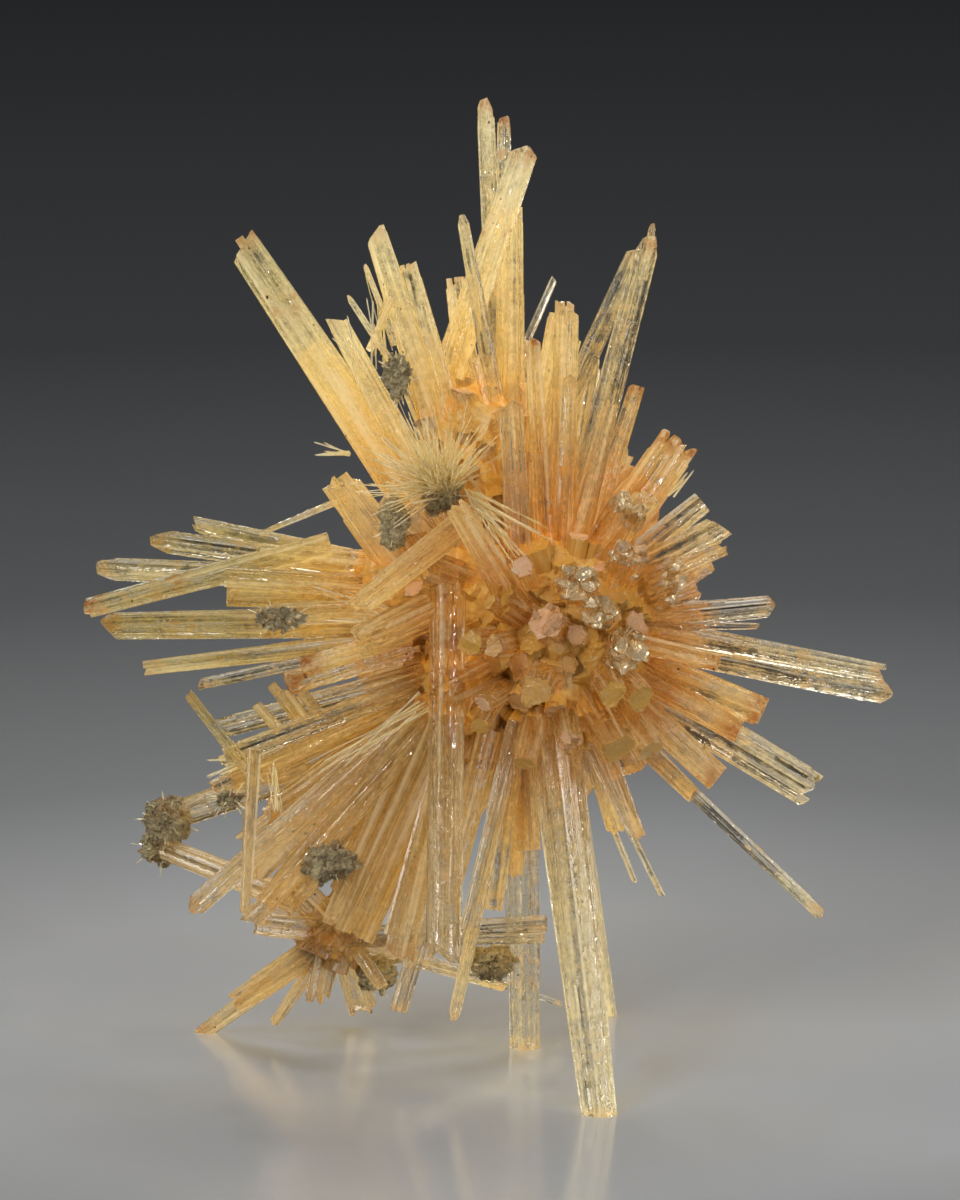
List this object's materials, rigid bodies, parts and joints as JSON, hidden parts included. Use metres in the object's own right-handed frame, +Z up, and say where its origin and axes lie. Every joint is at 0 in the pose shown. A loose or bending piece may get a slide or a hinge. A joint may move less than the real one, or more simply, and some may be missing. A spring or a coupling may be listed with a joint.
{
  "type": "aragonite crystal cluster",
  "caption": "Radiating cluster of honey-coloured aragonite prisms that stands on the tips of its lower crystals, for display on a flat surface.",
  "frame": {"origin": "middle of the cluster's bounding box, on the surface that its feet rest on", "axes": "+Z up, -Y toward the side that the picture shows, +X to that side's right"},
  "size_m": [0.0812, 0.0602, 0.0938],
  "materials": {
    "honey_crystal": "translucent honey-coloured crystal, glassy on the prism sides and sparkling on broken ends",
    "grey_green_marl": "dull, earthy, fine-grained"
  },
  "bodies": {
    "root": {"aragonite_cluster": "honey_crystal", "matrix_tuft_base": "grey_green_marl", "matrix_left_plate": "grey_green_marl", "matrix_tower_side": "grey_green_marl", "matrix_left_beam": "grey_green_marl", "matrix_upper_cap": "grey_green_marl", "matrix_lower_cap": "grey_green_marl", "matrix_fan": "grey_green_marl", "matrix_fan_top": "grey_green_marl", "matrix_low_hub": "grey_green_marl", "matrix_under_bars": "grey_green_marl"}
  },
  "joints": []
}
